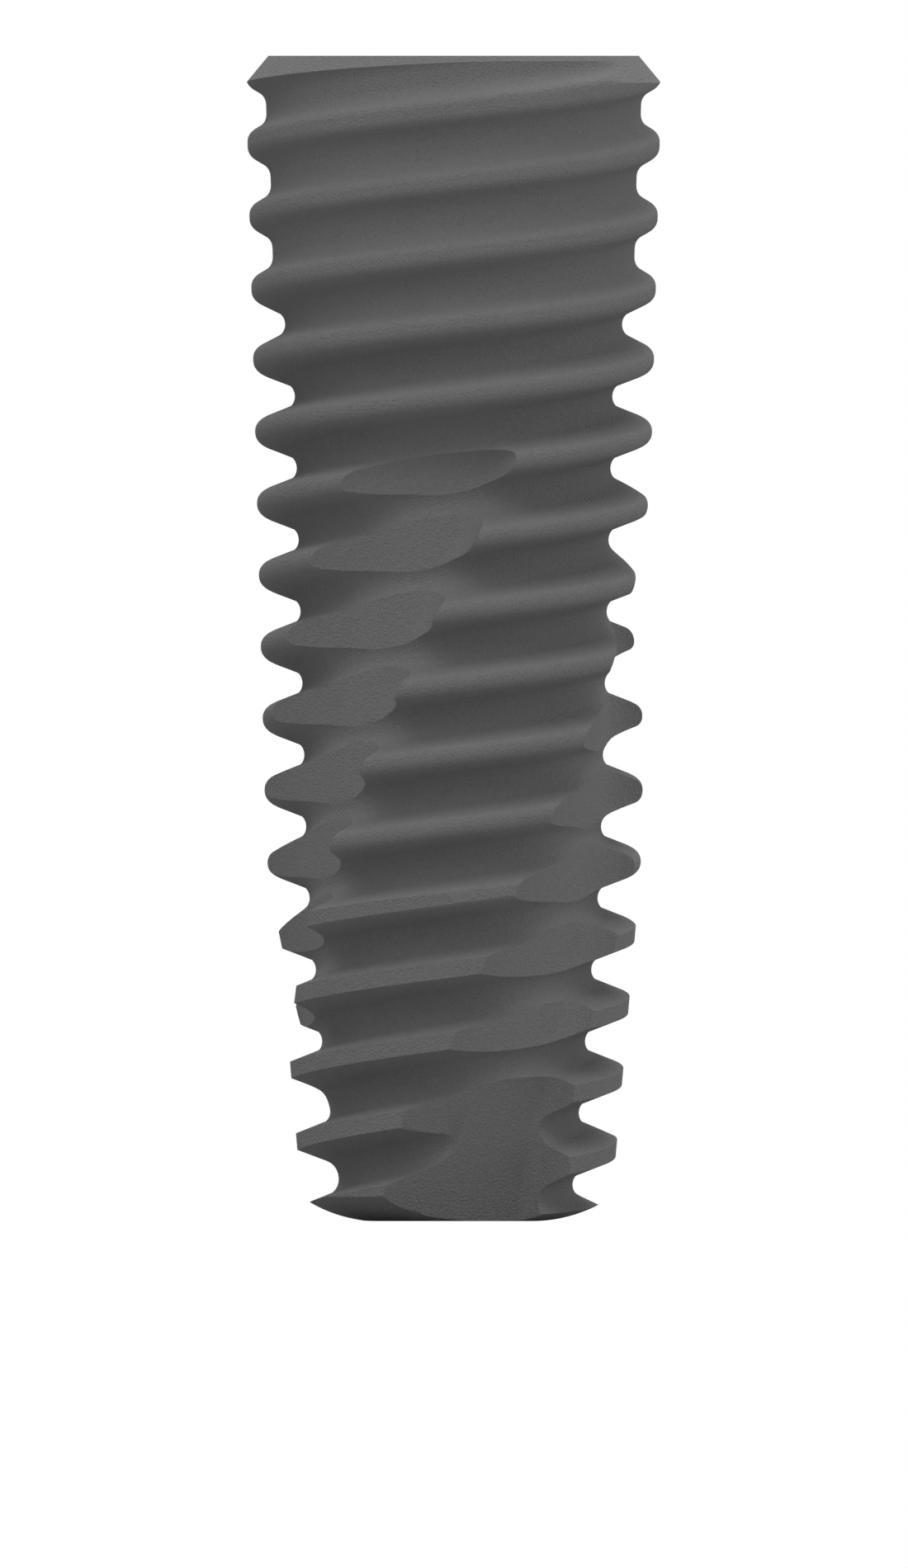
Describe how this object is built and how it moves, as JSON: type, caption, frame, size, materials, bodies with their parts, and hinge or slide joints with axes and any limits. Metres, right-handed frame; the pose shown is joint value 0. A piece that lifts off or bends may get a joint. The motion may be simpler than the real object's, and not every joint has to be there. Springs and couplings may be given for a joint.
{
  "type": "dental implant",
  "caption": "Tapered dental implant screw with a double outer thread, helical cutting flutes, straight apical cuts and a hexagonal inner connection over a screw bore.",
  "frame": {"origin": "centre of the flat apex, where the screw's axis meets the surface the part stands on", "axes": "+Z along the screw's axis from the apex to the platform, -Y the side seen in the picture"},
  "size_m": [0.004, 0.004, 0.0115],
  "materials": {
    "blasted_titanium": "matte, blasted and etched"
  },
  "bodies": {
    "root": {"implant_body": "blasted_titanium"}
  },
  "joints": []
}
